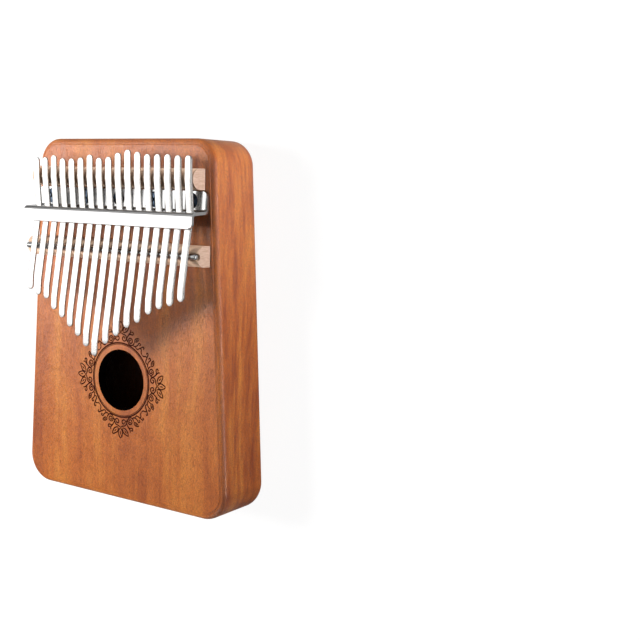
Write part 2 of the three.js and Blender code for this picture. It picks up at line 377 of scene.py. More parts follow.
def tone(red, green, blue):
    """A colour as seen on a screen, 0 to 255, as linear light by the sRGB formula."""
    channels = [c / 255 for c in (red, green, blue)]
    linear = [c / 12.92 if c <= 0.04045 else ((c + 0.055) / 1.055) ** 2.4 for c in channels]
    return (*linear, 1)


# Tones run from the darkest stretches of a material to its lightest.
WOOD_TONES = (tone(150, 70, 23), tone(188, 102, 36), tone(214, 134, 54))
PLATE_TONES = (tone(142, 64, 22), tone(176, 95, 34), tone(200, 124, 48))
PORE = tone(80, 32, 14)
# Painted shade: the long sides of the body are multiplied by this, darker and more saturated than the face.
SIDE_SHADE = (1, 0.9, 0.84, 1)
PALE_TONES = (tone(226, 186, 154), tone(240, 206, 178), tone(248, 221, 196))
SAWN_TONES = (tone(190, 154, 133), tone(214, 185, 166))
FLECK = tone(176, 126, 92)
# Painted shade: the near-black tones of the inside of the body.
SHADED_INSIDE_TONES = (tone(6, 3, 2), tone(14, 6, 4))
BURNT_TONES = (tone(38, 12, 6), tone(70, 26, 12))
TINE_TONES = (tone(208, 205, 202), tone(220, 217, 213))
ROD_TONES = (tone(186, 185, 184), tone(206, 205, 204))
CHROME_TONES = (tone(176, 175, 174), tone(190, 189, 188))
ZINC_TONES = (tone(50, 60, 76), tone(100, 114, 132))

# Noise: its waves per millimetre along X, Y and Z, its detail and its roughness.
WANDER = ((0.021, 0.007, 0.021), 1.5, 0.5)
BANDS = ((0.075, 0.0042, 0.2), 3, 0.55)
THREADS = ((0.9, 0.018, 1), 3, 0.6)
RIPPLE = ((0.1, 0.13, 0.1), 2, 0.5)
VEINS = ((0.2, 0.028, 0.2), 4, 0.66)
PORES = ((4.2, 0.42, 4.2), 2, 0.6)
MOTTLE = ((1.9, 1.5, 1.9), 2, 0.8)
PALE_THREADS = ((0.05, 1.4, 1.4), 3, 0.6)
PALE_CLOUDS = ((0.06, 0.3, 0.3), 2, 0.5)
FLECKS = ((0.5, 2.8, 2.8), 2, 0.5)
SAW_MARKS = ((0.1, 2.2, 0.35), 3, 0.7)
SHADED_INSIDE_NOISE = ((0.5, 0.05, 0.5), 4, 0.5)
BURNT_CHAR = ((0.9, 0.6, 0.9), 4, 0.65)
TINE_MARKS = ((2.4, 0.06, 2.4), 3, 0.65)
ROD_MARKS = ((0.06, 2.4, 2.4), 3, 0.65)
CHROME_MARKS = ((0.05, 1.6, 1.6), 3, 0.65)
ZINC_MARKS = ((1.2, 1.2, 1.2), 3, 0.65)
METAL_CLOUDS = ((0.12, 0.12, 0.12), 3, 0.6)
CLOTH = ((0.01, 0.01, 0.01), 2, 0.5)

# How far the grain wanders, in millimetres, and how far the veins lean for each millimetre along Y.
GRAIN_SWAY = 22
VEIN_LEAN = (0.1, 0, 0.14)

# How strongly each layer shows. Threads and veins show differently on the face and on the long sides.
BAND_SHARE = 0.95
RIPPLE_SHARE = 0.2
THREAD_SHARES = (0.3, 0.42)
VEIN_SHARES = (0.25, 1.15)
FACE_TO_SIDE = (0.5, 0.95)
PORE_SHARE = 0.4
FLECK_SHARE = 0.45

PLATE_OFFSET = (260, 340, 90)
LACQUER_IOR = 1.6
LACQUER_RELIEF = 0.045 * MM
PALE_RELIEF = 0.03 * MM
POLISH_RELIEF = 0.001 * MM

# The colour sockets of a Mix node.
COLOUR_A = 6
COLOUR_B = 7
COLOUR_OUT = 2


class Finish:
    """A node material, written a node at a time. Its texture space is the object's own, in millimetres."""

    def __init__(self, name):
        self.material = bpy.data.materials.new(name)
        self.material.use_nodes = True
        self.tree = self.material.node_tree
        self.surface = self.tree.nodes["Principled BSDF"]
        space = self.tree.nodes.new("ShaderNodeTexCoord")
        self.normal = space.outputs["Normal"]
        self.place = self.scaled(space.outputs["Object"], (1 / MM, 1 / MM, 1 / MM))

    def put(self, socket, value):
        if isinstance(value, bpy.types.NodeSocket):
            self.tree.links.new(value, socket)
        else:
            socket.default_value = value

    def set(self, **values):
        """Sets the shader's own sockets by name, such as base_color and specular_ior_level."""
        for name, value in values.items():
            self.put(self.surface.inputs[name.replace("_", " ").title().replace("Ior", "IOR")], value)

    def math(self, operation, first, second=0.0, clamp=False):
        node = self.tree.nodes.new("ShaderNodeMath")
        node.operation = operation
        node.use_clamp = clamp
        self.put(node.inputs[0], first)
        self.put(node.inputs[1], second)
        return node.outputs[0]

    def scaled(self, vector, factors):
        node = self.tree.nodes.new("ShaderNodeVectorMath")
        node.operation = "MULTIPLY"
        self.put(node.inputs[0], vector)
        self.put(node.inputs[1], factors)
        return node.outputs[0]

    def shifted(self, vector, offset):
        node = self.tree.nodes.new("ShaderNodeVectorMath")
        node.operation = "ADD"
        self.put(node.inputs[0], vector)
        self.put(node.inputs[1], offset)
        return node.outputs[0]

    def noise(self, vector, waves, detail, roughness, colour=False):
        """Noise round 0.5, with its waves per millimetre along X, Y and Z."""
        node = self.tree.nodes.new("ShaderNodeTexNoise")
        self.put(node.inputs["Vector"], self.scaled(vector, waves))
        node.inputs["Scale"].default_value = 1
        node.inputs["Detail"].default_value = detail
        node.inputs["Roughness"].default_value = roughness
        return node.outputs["Color" if colour else "Fac"]

    def ramp(self, factor, stops):
        """stops are (position, colour) pairs, and a plain number is a grey."""
        stops = list(stops)
        node = self.tree.nodes.new("ShaderNodeValToRGB")
        self.put(node.inputs[0], factor)
        band = node.color_ramp
        while len(band.elements) < len(stops):
            band.elements.new(0.5)
        for element, (position, colour) in zip(band.elements, stops):
            element.position = position
            element.color = colour if isinstance(colour, tuple) else (colour, colour, colour, 1)
        return node.outputs["Color"]

    def mix(self, factor, first, second, blend="MIX"):
        node = self.tree.nodes.new("ShaderNodeMix")
        node.data_type = "RGBA"
        node.blend_type = blend
        self.put(node.inputs["Factor"], factor)
        self.put(node.inputs[COLOUR_A], first)
        self.put(node.inputs[COLOUR_B], second)
        return node.outputs[COLOUR_OUT]

    def layers(self, *pairs):
        """0.5, raised and lowered by (noise, strength) pairs."""
        total = 0.5
        for layer, strength in pairs:
            swing = self.math("SUBTRACT", layer, 0.5)
            total = self.math("ADD", total, self.math("MULTIPLY", swing, strength))
        return total

    def axis(self, vector, name):
        node = self.tree.nodes.new("ShaderNodeSeparateXYZ")
        self.put(node.inputs[0], vector)
        return node.outputs[name]

    def bump(self, height, depth):
        node = self.tree.nodes.new("ShaderNodeBump")
        node.inputs["Distance"].default_value = depth
        self.put(node.inputs["Height"], height)
        return node.outputs["Normal"]


def body_wood(name, dark, middle, light, offset):
    """Satin-lacquered reddish hardwood with its grain along Y, from waves and threads down to pores."""
    finish = Finish(name)
    start = finish.shifted(finish.place, offset)
    wander = finish.shifted(finish.noise(start, *WANDER, colour=True), (-0.5, -0.5, -0.5))
    grain = finish.shifted(start, finish.scaled(wander, (GRAIN_SWAY, 0, GRAIN_SWAY)))
    lean = finish.scaled(finish.axis(grain, "Y"), VEIN_LEAN)
    bands = finish.noise(grain, *BANDS)
    threads = finish.noise(grain, *THREADS)
    ripple = finish.noise(grain, *RIPPLE)
    veins = finish.noise(finish.shifted(grain, lean), *VEINS)
    pores = finish.noise(grain, *PORES)
    mottle = finish.noise(start, *MOTTLE)

    # The long sides have bolder veins than the face, and the ends are a little darker, as end grain is.
    side = finish.math("ABSOLUTE", finish.axis(finish.normal, "X"))
    end = finish.math("ABSOLUTE", finish.axis(finish.normal, "Y"))
    thread_share = finish.ramp(side, zip(FACE_TO_SIDE, THREAD_SHARES))
    vein_share = finish.ramp(side, zip(FACE_TO_SIDE, VEIN_SHARES))
    mixed = finish.layers(
        (bands, BAND_SHARE),
        (threads, thread_share),
        (ripple, RIPPLE_SHARE),
        (veins, vein_share),
    )
    colour = finish.ramp(mixed, [(0.22, dark), (0.5, middle), (0.8, light)])
    pore_mask = finish.ramp(pores, [(0.36, 1), (0.46, 0)])
    colour = finish.mix(finish.math("MULTIPLY", pore_mask, PORE_SHARE), colour, PORE)
    # The long sides also get a darker, more saturated tint, which is painted shade.
    tints_and_shade = (
        finish.ramp(mottle, [(0.3, 0.7), (0.7, 1.24)]),
        finish.ramp(end, [(0.45, 1), (0.95, 0.78)]),
        finish.ramp(side, zip(FACE_TO_SIDE, (1, SIDE_SHADE))),
    )
    for tint_or_shade in tints_and_shade:
        colour = finish.mix(1, colour, tint_or_shade, "MULTIPLY")
    relief = finish.math("SUBTRACT", finish.math("MULTIPLY", threads, 0.5), pore_mask)
    finish.set(base_color=colour, normal=finish.bump(relief, LACQUER_RELIEF))
    finish.set(roughness=finish.ramp(threads, [(0.3, 0.3), (0.7, 0.4)]))
    finish.set(specular_ior_level=1, ior=LACQUER_IOR)
    return finish.material


def scorch_and_shade(name, noise, tones, roughnesses, depth, shine):
    """The scorched line of the engraving, and the near-black painted shade inside the body and sound hole.
    """
    finish = Finish(name)
    char_and_shade = finish.noise(finish.place, *noise)
    rough = finish.ramp(char_and_shade, zip((0.3, 0.7), roughnesses))
    finish.set(base_color=finish.ramp(char_and_shade, zip((0.3, 0.7), tones)), roughness=rough)
    finish.set(normal=finish.bump(char_and_shade, depth), specular_ior_level=shine)
    return finish.material


def bridge_wood(name):
    """Bare pale hardwood with its grain along X, short darker flecks, and saw marks on the ends."""
    finish = Finish(name)
    threads = finish.noise(finish.place, *PALE_THREADS)
    clouds = finish.noise(finish.place, *PALE_CLOUDS)
    flecks = finish.noise(finish.place, *FLECKS)
    saw = finish.noise(finish.place, *SAW_MARKS)
    mixed = finish.math("ADD", finish.math("MULTIPLY", threads, 0.6), finish.math("MULTIPLY", clouds, 0.4))
    colour = finish.ramp(mixed, zip((0.32, 0.52, 0.7), PALE_TONES))
    fleck_mask = finish.ramp(flecks, [(0.3, 1), (0.42, 0)])
    colour = finish.mix(finish.math("MULTIPLY", fleck_mask, FLECK_SHARE), colour, FLECK)
    end = finish.math("ABSOLUTE", finish.axis(finish.normal, "X"))
    end_colour = finish.ramp(saw, zip((0.35, 0.65), SAWN_TONES))
    colour = finish.mix(finish.ramp(end, [(0.6, 0), (0.9, 1)]), colour, end_colour)
    relief = finish.math("SUBTRACT", threads, finish.math("MULTIPLY", fleck_mask, 0.6))
    finish.set(base_color=colour, normal=finish.bump(relief, PALE_RELIEF))
    finish.set(roughness=finish.ramp(clouds, [(0.3, 0.55), (0.7, 0.7)]))
    return finish.material


def metal(name, noise, tones, roughnesses, depth=POLISH_RELIEF):
    """Polished metal with faint drawing marks, which run along the axis that has the fewest waves."""
    finish = Finish(name)
    marks = finish.noise(finish.place, *noise)
    clouds = finish.noise(finish.place, *METAL_CLOUDS)
    blend = finish.math("ADD", finish.math("MULTIPLY", marks, 0.6), finish.math("MULTIPLY", clouds, 0.4))
    rough = finish.ramp(blend, zip((0.35, 0.65), roughnesses))
    finish.set(base_color=finish.ramp(clouds, zip((0.3, 0.7), tones)), roughness=rough)
    finish.set(normal=finish.bump(marks, depth), metallic=1)
    return finish.material


BODY_WOOD = body_wood("lacquered_wood", *WOOD_TONES, (0, 0, 0))
PLATE_WOOD = body_wood("lacquered_plate_wood", *PLATE_TONES, PLATE_OFFSET)
# Near black inside the body, on the sound hole's wall and on the screw pad: painted shade.
SHADED_INSIDE = scorch_and_shade("inside_painted_shade", SHADED_INSIDE_NOISE, SHADED_INSIDE_TONES, (0.85, 0.98), 0.05 * MM, 0.03)
BURNT = scorch_and_shade("scorched_line", BURNT_CHAR, BURNT_TONES, (0.5, 0.7), 0.02 * MM, 0.15)
PALE_WOOD = bridge_wood("pale_wood")
TINE_STEEL = metal("tine_steel", TINE_MARKS, TINE_TONES, (0.18, 0.24))
ROD_STEEL = metal("rod_steel", ROD_MARKS, ROD_TONES, (0.14, 0.2))
CHROME = metal("bracket_chrome", CHROME_MARKS, CHROME_TONES, (0.12, 0.17))
ZINC = metal("screw_zinc", ZINC_MARKS, ZINC_TONES, (0.12, 0.22), 0.01 * MM)


# ---------------------------------------------------------------- body and back plate

def body_outline(inset, z):
    """The body's plan, moved inwards by inset, at height z."""
    slant = math.atan((BOTTOM_WIDTH - TOP_WIDTH) / 2 / LENGTH)
    side_distance = TOP_WIDTH / 2 * math.cos(slant) + LENGTH / 2 * math.sin(slant)
    corners = (
        (-1, 1, BOTTOM_CORNER, -QUARTER, slant),
        (1, 1, TOP_CORNER, slant, QUARTER),
        (1, -1, TOP_CORNER, QUARTER, math.pi - slant),
        (-1, -1, BOTTOM_CORNER, math.pi - slant, 3 * QUARTER),
    )
    outline = []
    for end, side, radius, start, stop in corners:
        y = end * (LENGTH / 2 - radius)
        x = side * (side_distance - radius - y * math.sin(slant)) / math.cos(slant)
        outline.extend((px, py, z) for px, py in arc(x, y, radius - inset, start, stop, CORNER_STEPS))
    return outline


def bar(middle, size, finish=0):
    """A closed block about its middle point, with one material number."""
    x, y, z = middle
    width, length, height = size
    solid = Solid()
    rings = []
    for level in (z - height / 2, z + height / 2):
        corners = ((-1, -1), (1, -1), (1, 1), (-1, 1))
        rings.append(solid.ring([(x + i * width / 2, y + j * length / 2, level) for i, j in corners]))
    solid.stack(rings, finish)
    return solid


def make_body():
    """The hollow shell: its outside, its sound hole and its inside, with a pad that takes the screws."""
    solid = Solid()
    ceiling = FACE - SOUNDBOARD
    shoulder = FACE - EDGE_STEP
    levels = [(REBATE_INSET, 0)]
    for angle in quarter_angles(ROUND_STEPS):
        levels.append((BACK_ROUND * (1 - math.sin(angle)), BACK_ROUND * (1 - math.cos(angle))))
    for angle in quarter_angles(ROUND_STEPS):
        levels.append((FACE_ROUND * (1 - math.cos(angle)), shoulder - FACE_ROUND * (1 - math.sin(angle))))
    for angle in quarter_angles(EDGE_STEPS)[1:]:
        inset = FACE_ROUND + EDGE_RUN * (1 - math.cos(angle))
        levels.append((inset, shoulder + EDGE_STEP * math.sin(angle)))
    outside = [solid.ring(body_outline(*level)) for level in levels]
    solid.walls(outside)

    levels = []
    for angle in quarter_angles(SMALL_STEPS):
        radius = HOLE_RADIUS + HOLE_RIM * (1 - math.sin(angle))
        levels.append((radius, FACE - HOLE_RIM * (1 - math.cos(angle))))
    levels.append((HOLE_RADIUS, ceiling))
    hole = [solid.ring(circle(0, HOLE_Y, radius, z, HOLE_STEPS)) for radius, z in levels]
    solid.cap([outside[-1], hole[0]])
    # Material 1 is the near-black painted shade of the sound hole's wall and the inside.
    solid.walls(hole, 1)

    under = solid.ring(body_outline(WALL, ceiling))
    seat_inner = solid.ring(body_outline(WALL, REBATE_DEPTH))
    seat_outer = solid.ring(body_outline(REBATE_INSET, REBATE_DEPTH))
    solid.cap([under, hole[-1]], 1)
    solid.walls([under, seat_inner], 1)
    solid.walls([seat_inner, seat_outer, outside[0]])
    body = solid.make("wood_body", [BODY_WOOD, SHADED_INSIDE])

    pad_start, pad_end = PAD_Y
    pad_size = (TOP_WIDTH - WALL, pad_end - pad_start, PAD_DEPTH + PAD_OVERLAP)
    pad = bar((0, (pad_start + pad_end) / 2, ceiling - PAD_DEPTH / 2), pad_size, 1)
    combine(body, pad.make("pad", [BODY_WOOD, SHADED_INSIDE]), "UNION")
    levels = [(SCREW_HOLE, -SCREW_LENGTH - SCREW_HOLE_OVER), (SCREW_HOLE, SCREW_HOLE_OVER)]
    for place in screw_places():
        drill(body, place, levels, [BODY_WOOD, SHADED_INSIDE], 1)
    shade(body, SHARP)
    even_normals(body)
    return body


def make_back():
    """The plate that closes the back, with its outer edge rounded."""
    solid = Solid()
    inset = BODY_HIGH.x - PLATE_HIGH.x
    levels = []
    for angle in quarter_angles(SMALL_STEPS):
        levels.append((inset + PLATE_EDGE * (1 - math.sin(angle)), PLATE_EDGE * (1 - math.cos(angle))))
    levels.append((inset, PLATE_HIGH.z))
    solid.stack([solid.ring(body_outline(*level)) for level in levels])
    plate = solid.make("wood_back", [PLATE_WOOD])
    even_normals(plate)
    return plate


# ---------------------------------------------------------------- bridges and rod

def bridge_section(low, high):
    """Upright sides and a rounded top, as (y, z) points from the foot at the higher y over to the other."""
    half = (high.y - low.y) / 2
    centre = (high.y + low.y) / 2
    side = FACE + (high.z - FACE) * BRIDGE_SIDE
    crown = high.z - side
    section = [(centre + half, low.z)]
    for i in range(BRIDGE_CROWN_STEPS + 1):
        angle = math.pi * i / BRIDGE_CROWN_STEPS
        section.append((centre + half * math.cos(angle), side + crown * math.sin(angle)))
    section.append((centre - half, low.z))
    return section


def prism_along_x(section, low_x, high_x):
    solid = Solid()
    solid.stack([solid.ring([(x, y, z) for y, z in section]) for x in (low_x, high_x)])
    return solid


def make_back_bridge():
    low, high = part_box("back_bridge")
    section = bridge_section(low, high)
    bridge = prism_along_x(section, low.x, high.x).make("bridge_back", [PALE_WOOD])
    bevel(bridge, BRIDGE_EDGE)
    shade(bridge, BRIDGE_SHARP)
    even_normals(bridge)
    return bridge


def make_front_bridge():
    """The bar with a groove along its top, in which the rod lies."""
    low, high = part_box("front_bridge")
    centre = (low.y + high.y) / 2
    crown = FACE + FRONT_BRIDGE_HEIGHT
    section = bridge_section(low, Vector((high.x, high.y, crown)))
    bridge = prism_along_x(section, low.x, high.x).make("bridge_front", [PALE_WOOD])
    reach = ROD_RADIUS + GROOVE_ROOM
    mouth = crown + GROOVE_OVER
    outline = arc(centre, ROD_Z, reach, math.pi, 2 * math.pi, GROOVE_STEPS)
    outline.extend([(centre + reach, mouth), (centre - reach, mouth)])
    groove = prism_along_x(outline, low.x - GROOVE_OVER, high.x + GROOVE_OVER)
    combine(bridge, groove.make("groove", [PALE_WOOD]), "DIFFERENCE")
    bevel(bridge, GROOVE_EDGE, segments=2)
    shade(bridge, BRIDGE_SHARP)
    even_normals(bridge)
    return bridge


def lathe(profile, steps, name, material):
    """A round piece about Z from its (radius, z) profile, which starts and ends on the axis."""
    solid = Solid()
    foot = solid.ring([(0, 0, profile[0][1])])[0]
    rings = [solid.ring(circle(0, 0, radius, z, steps)) for radius, z in profile[1:-1]]
    head = solid.ring([(0, 0, profile[-1][1])])[0]
    solid.walls(rings)
    for i in range(steps):
        j = (i + 1) % steps
        solid.face([foot, rings[0][i], rings[0][j]])
        solid.face([head, rings[-1][i], rings[-1][j]])
    return solid.make(name, [material])


def make_rod():
    half = (ROD_HIGH.x - ROD_LOW.x) / 2
    profile = [(0, -half)]
    for angle in quarter_angles(ROD_DOME_STEPS)[1:]:
        profile.append((ROD_RADIUS * math.sin(angle), -half + ROD_DOME * (1 - math.cos(angle))))
    profile.extend([(radius, -z) for radius, z in reversed(profile)])
    rod = lathe(profile, ROD_STEPS, "rod", ROD_STEEL)
    rod.data.transform(Matrix.Translation((0, ROD_Y, ROD_Z)) @ Matrix.Rotation(QUARTER, 4, "Y"))
    return rod


# ---------------------------------------------------------------- screws

def screw_places():
    """The middle of each screw head's rim."""
    places = []
    for number in range(1, SCREWS + 1):
        low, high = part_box(f"bracket_screw_{number}")
        places.append(Vector(((low.x + high.x) / 2, (low.y + high.y) / 2, low.z + SCREW_LENGTH)))
    return places


def make_screw(number, place):
    """A countersunk screw with ring threads and a cross recess, each turned to its own angle."""
    low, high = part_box(f"bracket_screw_{number}")
    radius = (high.x - low.x) / 2
    crown = high.z - place.z
    profile = [(0, -SCREW_LENGTH), (SCREW_TIP, -SCREW_LENGTH)]
    z = -SCREW_LENGTH + SCREW_TAPER
    while z < -SCREW_HEAD_DEPTH - SCREW_PITCH:
        profile.append((SCREW_SHANK, z))
        profile.append((SCREW_SHANK + SCREW_THREAD, z + SCREW_PITCH * SCREW_CREST))
        z += SCREW_PITCH
    profile.append((SCREW_SHANK, -SCREW_HEAD_DEPTH))
    profile.append((radius - SCREW_RIM, -SCREW_RIM))
    profile.append((radius, 0))
    for i in range(1, SCREW_CROWN_STEPS):
        share = i / SCREW_CROWN_STEPS
        rise = math.sin(QUARTER * min(1, share * SCREW_CROWN_SPREAD))
        profile.append((radius * (1 - share), crown * rise))
    profile.append((0, crown))
    screw = lathe(profile, SCREW_STEPS, f"screw_{number}", ZINC)
    for width, length in ((CROSS_LENGTH, CROSS_WIDTH), (CROSS_WIDTH, CROSS_LENGTH)):
        slot = bar((0, 0, crown), (width, length, 2 * CROSS_DEPTH))
        combine(screw, slot.make("slot", [ZINC]), "DIFFERENCE")
    shade(screw, SCREW_SHARP)
    screw.data.transform(Matrix.Translation(place) @ Matrix.Rotation(SCREW_TURN * number, 4, "Z"))
    return screw


# ---------------------------------------------------------------- bracket

def bracket_route():
    """The middle of the sheet: along the base to the wall, up the wall, and along the lip."""
    base_z = BRACKET_LOW.z + SHEET / 2
    lip_z = BRACKET_HIGH.z - SHEET / 2
    corners = [
        Vector((BRACKET_HIGH.y, base_z)),
        Vector((WALL_FOOT_Y, base_z)),
        Vector((WALL_TOP_Y, lip_z)),
        Vector((BRACKET_LOW.y, lip_z)),
    ]
    return Route(bent_path(corners, SHEET_BEND, SHEET_BEND_STEP))


def bracket_stations(route):
    """The grid's rows: each step of the path and of the rounded corners, and both ends of the slots."""
    stations = set(route.lengths)
    for angle in quarter_angles(BRACKET_CORNER_STEPS)[1:]:
        distance = BRACKET_CORNER * (1 - math.cos(angle))
        stations.update((distance, route.total - distance))
    foot = next(k for k, (_, direction) in enumerate(route.path) if abs(direction.x) < UPRIGHT)
    place, direction = route.path[foot]
    for z in (SLOT_LOW, SLOT_HIGH):
        stations.add(route.lengths[foot] + (z - place.y) / direction.y)
    return sorted(stations)


def bracket_slots():
    """The left and right edge of each tine's slot."""
    slots = []
    for low, high in SHANKS:
        left = (low.x + high.x) / 2 - TINE_WIDTH / 2 - SLOT_ROOM
        slots.append((left, left + TINE_WIDTH + 2 * SLOT_ROOM))
    return slots


def bracket_reach(half, edge):
    """Half the sheet's length at a distance from its edge, less where a corner is rounded."""
    drop = max(0, BRACKET_CORNER - edge)
    return half - BRACKET_CORNER + math.sqrt(max(0, BRACKET_CORNER ** 2 - drop ** 2))


def make_bracket():
    """Bent sheet: a grid along its section and its length, left open at the slots."""
    route = bracket_route()
    stations = bracket_stations(route)
    slots = bracket_slots()
    half = (BRACKET_HIGH.x - BRACKET_LOW.x) / 2
    columns = sorted([-half, half, *(edge for slot in slots for edge in slot)])

    solid = Solid()
    sides = []
    for lift in (-SHEET / 2, SHEET / 2):
        rows = []
        for station in stations:
            place, direction = route.at(station)
            y = place.x - direction.y * lift
            z = place.y + direction.x * lift
            limit = bracket_reach(half, min(station, route.total - station))
            rows.append(solid.ring([(max(-limit, min(limit, x)), y, z) for x in columns]))
        sides.append(rows)

    cells = set()
    for r, (start, end) in enumerate(zip(stations, stations[1:])):
        middle, _ = route.at((start + end) / 2)
        _, direction = route.at(start)
        on_wall = SLOT_LOW < middle.y < SLOT_HIGH and abs(direction.x) < UPRIGHT
        for c, edges in enumerate(zip(columns, columns[1:])):
            centre = sum(edges) / 2
            is_slot = on_wall and any(left < centre < right for left, right in slots)
            if not is_slot:
                cells.add((r, c))

    low, high = sides
    for r, c in sorted(cells):
        for rows in sides:
            solid.face([rows[r][c], rows[r][c + 1], rows[r + 1][c + 1], rows[r + 1][c]])
        borders = (
            ((r - 1, c), (r, c), (r, c + 1)),
            ((r + 1, c), (r + 1, c), (r + 1, c + 1)),
            ((r, c - 1), (r, c), (r + 1, c)),
            ((r, c + 1), (r, c + 1), (r + 1, c + 1)),
        )
        for neighbour, (row_a, column_a), (row_b, column_b) in borders:
            if neighbour not in cells:
                edge = [low[row_a][column_a], low[row_b][column_b]]
                solid.face([*edge, high[row_b][column_b], high[row_a][column_a]])
    bracket = solid.make("bracket", [CHROME])
    bevel(bracket, SHEET_EDGE, angle=SHEET_SHARP)
    screw_low, screw_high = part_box("bracket_screw_1")
    radius = (screw_high.x - screw_low.x) / 2 + COUNTERSINK_ROOM
    levels = (
        (SCREW_HOLE, -COUNTERSINK_DEPTH),
        (SCREW_HOLE, -SCREW_HEAD_DEPTH),
        (radius, 0),
        (radius, SCREW_HOLE_OVER),
    )
    for place in screw_places():
        drill(bracket, place, levels, [CHROME])
    shade(bracket, SHARP)
    even_normals(bracket)
    return bracket


# ---------------------------------------------------------------- tines

def tine_path(back_y, tip_y):
    """Level to the back bridge's crest, down to the clamp, up over the rod, and less steep at the tip."""
    bend_y = tip_y + TIP_LENGTH
    bend_z = CLAMP_Z + TINE_RISE * (CLAMP_Y - bend_y)
    corners = [
        Vector((back_y, CREST_Z)),
        Vector((CREST_Y, CREST_Z)),
        Vector((CLAMP_Y, CLAMP_Z)),
        Vector((bend_y, bend_z)),
        Vector((tip_y, bend_z + TIP_LIFT)),
    ]
    return filled_in(bent_path(corners, TINE_BEND, BEND_STEP), TINE_STATION)


def tine_plan(route, inset):
    """Distances along the strip, each with its half-width: a round end, the straight, a round end."""
    radius = TINE_WIDTH / 2
    round_end = radius - inset
    plan = []
    for angle in quarter_angles(TINE_END_STEPS):
        plan.append((radius - round_end * math.cos(angle), round_end * math.sin(angle)))
    clear = radius * TINE_END_CLEAR
    plan.extend((along, round_end) for along in route.lengths if clear < along < route.total - clear)
    for angle in reversed(quarter_angles(TINE_END_STEPS)):
        plan.append((route.total - radius + round_end * math.cos(angle), round_end * math.sin(angle)))
    return plan


def make_tine(number):
    """One strip with rounded edges and round ends, lofted as rings of its plan at rising heights."""
    shank_low, shank_high = SHANKS[number - 1]
    tip_low, _ = TONGUES[number - 1]
    middle = (shank_low.x + shank_high.x) / 2
    route = Route(tine_path(shank_high.y, tip_low.y))
    levels = []
    for angle in quarter_angles(TINE_EDGE_STEPS):
        lift = TINE_EDGE * (1 - math.cos(angle)) - TINE_THICKNESS / 2
        levels.append((TINE_EDGE * (1 - math.sin(angle)), lift))
    levels.extend([(inset, -lift) for inset, lift in reversed(levels)])

    solid = Solid()
    rings = []
    for inset, lift in levels:
        plan = tine_plan(route, inset)
        points = []
        for side, stretch in ((1, plan), (-1, reversed(plan))):
            for distance, half_width in stretch:
                place, direction = route.at(distance)
                y = place.x + direction.y * lift
                z = place.y - direction.x * lift
                points.append((middle + side * half_width, y, z))
        rings.append(solid.ring(points))
    solid.walls(rings)
    for loop in (rings[0], rings[-1]):
        count = len(loop)
        for i in range(count // 2 - 1):
            solid.face([loop[i], loop[i + 1], loop[count - 2 - i], loop[count - 1 - i]])
    return solid.make(f"tine_{number:02d}", [TINE_STEEL], TINE_SHARP)


# ---------------------------------------------------------------- engraving

def smooth_line(points, steps=6):
    """A Catmull-Rom curve through given points."""
    points = [Vector(p) for p in points]
    line = []
    for i in range(len(points) - 1):
        before = points[max(i - 1, 0)]
        after = points[min(i + 2, len(points) - 1)]
        start = points[i]
        end = points[i + 1]
        for k in range(steps):
            t = k / steps
            line.append(0.5 * (
                2 * start
                + (end - before) * t
                + (2 * before - 5 * start + 4 * end - after) * t * t
                + (3 * start - before - 3 * end + after) * t ** 3
            ))
    line.append(points[-1])
    return line


def curl(centre, outer, inner, start, turns):
    """A spiral from its outer end inwards; start is in degrees, and negative turns run clockwise."""
    steps = math.ceil(abs(turns) * CURL_STEPS)
    line = []
    for i in range(steps + 1):
        share = i / steps
        angle = math.radians(start + 360 * turns * share)
        radius = outer + (inner - outer) * share
        line.append(Vector((centre[0] + radius * math.cos(angle), centre[1] + radius * math.sin(angle))))
    return line


def leaf(base, tip, width):
    """Both edges of a pointed leaf, then its short midrib."""
    base = Vector(base)
    along = Vector(tip) - base
    across = Vector((-along.y, along.x)).normalized() * width / 2
    lines = []
    for side in (1, -1):
        edge = [base + along * share + across * side * swell for share, swell in LEAF_EDGE]
        lines.append(smooth_line([base, *edge, base + along], steps=5))
    lines.append(smooth_line([base + along * share for share in LEAF_RIB], steps=4))
    return lines


def half_sprig():
    """The right half of one sprig, as lines of (across, out) points in millimetres.

    across is measured round the ring from the middle of the sprig, and out from the centre of the hole.
    """
    lines = [
        [*smooth_line([(0, 24.6), (0.7, 24.2), (1.4, 23.95)]), *curl((2.25, 21.9), 2, 0.35, 112, -1.45)],
        smooth_line([(3.9, 21.2), (4.3, 22.9), (5, 24.6), (5.7, 26.2), (5.5, 27.6)]),
        [*smooth_line([(5, 24.6), (6, 25.2)]), *curl((6.7, 26.1), 0.95, 0.3, -110, 0.85)],
        [*smooth_line([(4.1, 22), (4.8, 20.9)]), *curl((6.9, 21.8), 1.75, 0.35, 200, -1.5)],
        smooth_line([(5.1, 21), (6.6, 19.9), (8.6, 20.2), (9.4, 21.6), (9.3, 22.8)]),
        [
            *smooth_line([(8.9, 20.6), (10.4, 20.6), (11.6, 21.6), (12.1, 22.9)]),
            *curl((12.8, 23.4), 0.85, 0.3, 210, -0.9),
        ],
        smooth_line([
            (10.8, 20.9), (12.6, 20.4), (13.6, 21.3), (14.1, 22.3), (15.2, 22.1), (15.9, 21), (17.3, 20.5),
        ]),
        [*smooth_line([(14.1, 22.3), (14.7, 23.4)]), *curl((15.5, 23.6), 0.75, 0.25, 195, -0.85)],
    ]
    lines.extend(leaf((1.5, 24.7), (4.3, 29.2), 2.3))
    lines.extend(leaf((9.3, 22.9), (11.3, 25.8), 1.5))
    return lines


def sprig():
    """Both halves of a sprig and the leaf at its middle."""
    right = half_sprig()
    left = [[(-across, out) for across, out in line] for line in right]
    return [*right, *left, *leaf((0, 24.9), (0, 30.4), 2.4)]


